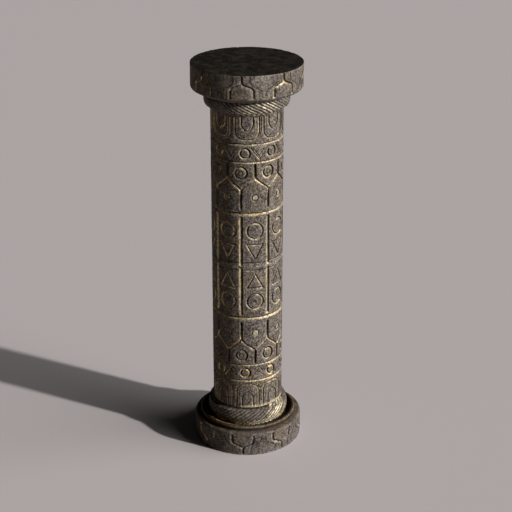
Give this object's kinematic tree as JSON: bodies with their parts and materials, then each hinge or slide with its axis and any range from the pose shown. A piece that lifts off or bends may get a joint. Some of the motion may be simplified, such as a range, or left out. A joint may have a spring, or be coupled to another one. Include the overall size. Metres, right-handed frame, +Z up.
{
  "type": "carved stone column",
  "caption": "Tall round stone column with a disc base and capital, rope collars and a shaft carved in bands of arches, roundels and triangles, gilding worn into the lines.",
  "frame": {"origin": "middle of the round underside, on the ground", "axes": "+Z up along the column's axis, -Y towards the front of the carving, +X to the right of it"},
  "size_m": [2.0699, 2.0698, 7.5],
  "materials": {
    "base_stone": "weathered dark stone with worn gilding in the carved lines",
    "shaft_stone": "weathered dark stone with worn gilding in the carved lines",
    "capital_stone": "weathered dark stone, nearly black on top, with worn gilding in the carved lines"
  },
  "bodies": {
    "root": {"base": "base_stone", "lower_drum": "shaft_stone", "upper_drum": "shaft_stone", "capital": "capital_stone"}
  },
  "joints": []
}
